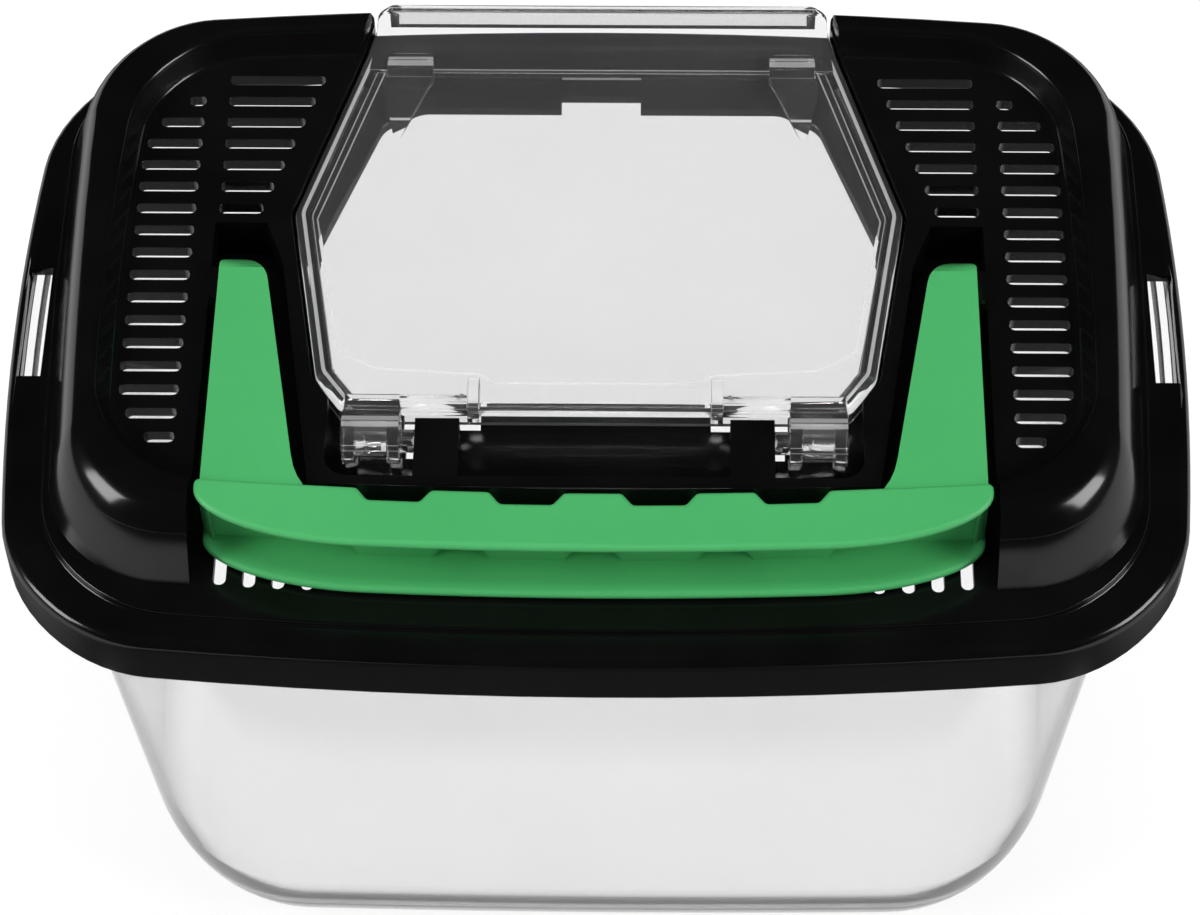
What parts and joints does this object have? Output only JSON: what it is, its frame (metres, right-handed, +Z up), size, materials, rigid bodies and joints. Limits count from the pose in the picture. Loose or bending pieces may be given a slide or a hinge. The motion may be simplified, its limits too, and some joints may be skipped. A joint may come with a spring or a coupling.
{
  "type": "plastic pet keeper",
  "caption": "Small clear plastic pet keeper with a tapered tub, vented push-on lid, hinged access door and folding carry handle.",
  "frame": {"origin": "centre of the tub's flat base, on the surface it stands on", "axes": "+Z up, front of the keeper (grip of the folded handle) towards -Y, +X to the right seen from the front"},
  "size_m": [0.208, 0.1404, 0.1255],
  "materials": {
    "clear_tub": "clear polystyrene, polished",
    "black_lid": "gloss black",
    "clear_door": "clear polystyrene, polished",
    "green_handle": "satin green"
  },
  "bodies": {
    "tub": {"tub": "clear_tub"},
    "lid": {"lid": "black_lid"},
    "door": {"door": "clear_door"},
    "handle": {"handle": "green_handle"}
  },
  "joints": [
    {"name": "lid_lift", "type": "slide", "parent": "tub", "child": "lid", "axis": [0, 0, 1], "range_m": [0, 0.06]},
    {"name": "door_hinge", "type": "hinge", "parent": "lid", "child": "door", "pos_m": [0, -0.0297, 0.1183], "axis": [1, 0, 0], "range_deg": [0, 100]},
    {"name": "handle_hinge", "type": "hinge", "parent": "lid", "child": "handle", "pos_m": [0, 0.0026, 0.1178], "axis": [-1, 0, 0], "range_deg": [0, 90]}
  ]
}
